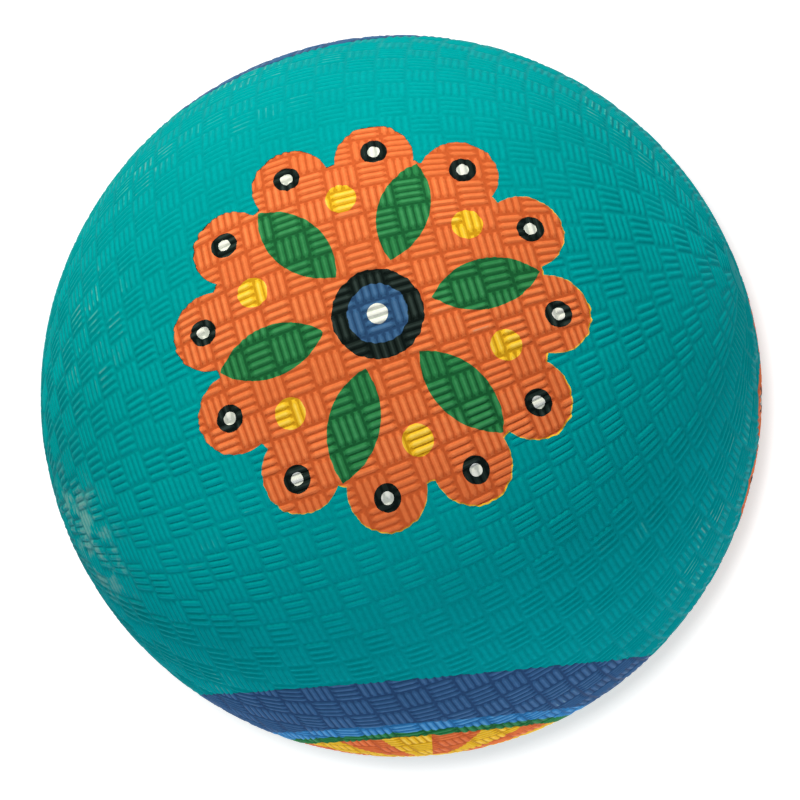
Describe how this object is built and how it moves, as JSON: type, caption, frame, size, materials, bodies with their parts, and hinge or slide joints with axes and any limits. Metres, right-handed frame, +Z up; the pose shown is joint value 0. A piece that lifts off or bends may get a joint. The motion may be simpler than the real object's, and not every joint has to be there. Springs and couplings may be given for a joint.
{
  "type": "dodgeball",
  "caption": "Moulded rubber play ball with a basket-weave surface, printed badges and a needle valve.",
  "frame": {"origin": "centre of the ball", "axes": "+Z up as the ball lies in the picture, a printed badge on top; X is the mould's axis, with the valve at -X and the smooth button at +X"},
  "size_m": [0.1773, 0.1782, 0.1781],
  "materials": {
    "cover_rubber": "satin",
    "bladder_rubber": "matte",
    "patch_rubber": "matte",
    "valve_rubber": "satin",
    "plug_rubber": "satin",
    "ink_orange": "satin",
    "ink_green": "satin",
    "ink_yellow": "satin",
    "ink_blue": "satin",
    "ink_light_blue": "satin",
    "ink_dark": "satin",
    "ink_white": "satin"
  },
  "bodies": {
    "root": {"cover": "cover_rubber", "bladder": "bladder_rubber", "valve_patch": "patch_rubber", "valve_boot": "valve_rubber", "valve_core": "plug_rubber", "print_orange": "ink_orange", "print_green": "ink_green", "print_yellow": "ink_yellow", "print_blue": "ink_blue", "print_light_blue": "ink_light_blue", "print_dark": "ink_dark", "print_white": "ink_white"}
  },
  "joints": []
}
